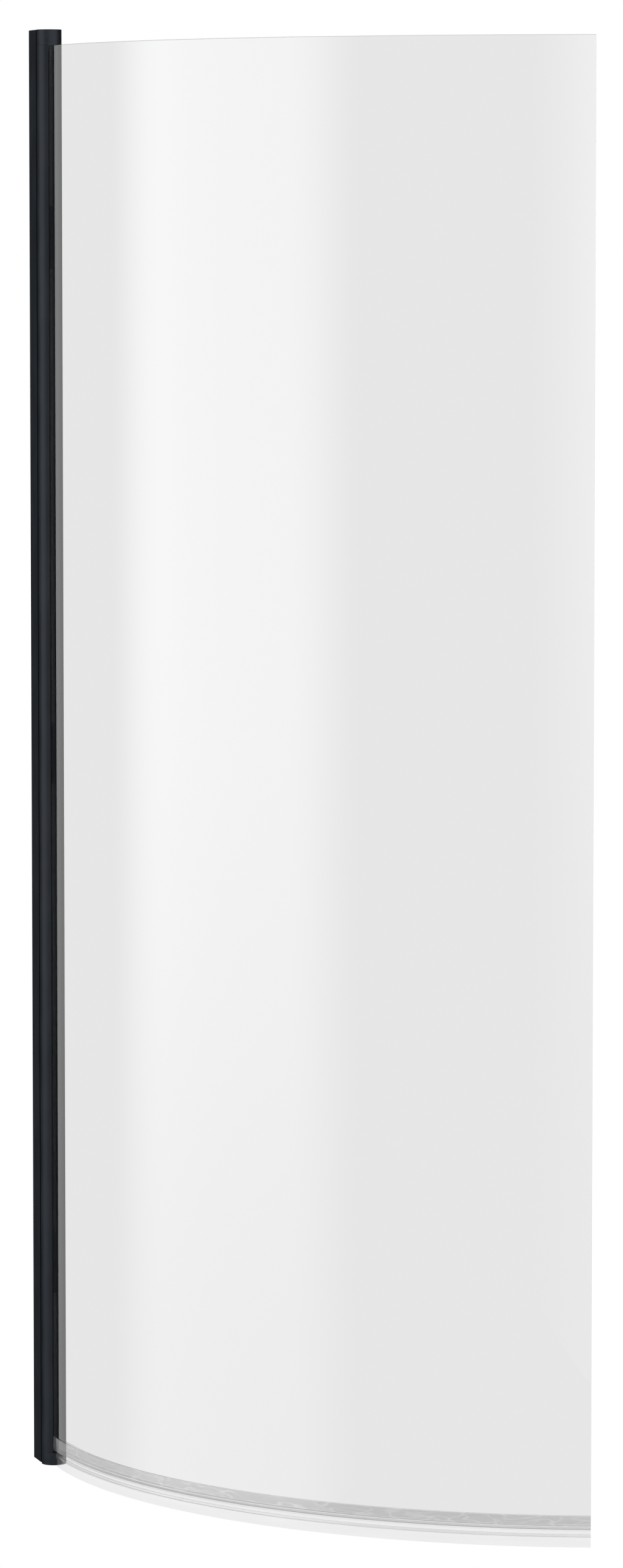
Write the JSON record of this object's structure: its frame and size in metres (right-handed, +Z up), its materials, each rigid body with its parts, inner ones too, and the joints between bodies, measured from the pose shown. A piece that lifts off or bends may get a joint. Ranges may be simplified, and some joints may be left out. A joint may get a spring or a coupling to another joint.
{
  "type": "bath screen",
  "caption": "Curved clear glass bath screen on a round black post that swings in a wall profile, with a clear sealing strip along its lower edge.",
  "frame": {"origin": "middle of the wall profile's back face, which is also the middle of its line of screw holes", "axes": "+Z up, +Y into the wall, +X along the wall towards the hollow side of the pane"},
  "size_m": [0.3896, 0.5727, 1.4007],
  "materials": {
    "profile_black": "matt black powder coat",
    "cap_black": "matt",
    "carrier_black": "black anodised",
    "pane_glass": "clear",
    "seal_clear": "clear",
    "gasket_black": "matt",
    "steel": "satin",
    "screw_black": "satin",
    "bush_white": "natural",
    "bond_clear": "satin"
  },
  "bodies": {
    "wall_side": {"wall_profile": "profile_black", "carrier_profile": "carrier_black", "cradle_gasket": "gasket_black", "adjusting_screws": "steel", "cover_seats": "cap_black", "screw_covers": "cap_black", "top_cap": "cap_black", "bottom_cap": "cap_black", "cap_screws": "screw_black", "cap_plugs": "cap_black", "pivot_pins": "steel", "thrust_washers": "steel"},
    "screen": {"post": "profile_black", "pivot_bushes": "bush_white", "outer_gasket": "gasket_black", "inner_gasket": "gasket_black", "edge_packers": "cap_black", "edge_bond": "bond_clear", "glass_pane": "pane_glass", "bottom_seal": "seal_clear"}
  },
  "joints": [
    {"name": "screen_swing", "type": "hinge", "parent": "wall_side", "child": "screen", "pos_m": [0, -0.037, 0], "axis": [0, 0, 1], "range_deg": [-100, 50]}
  ]
}
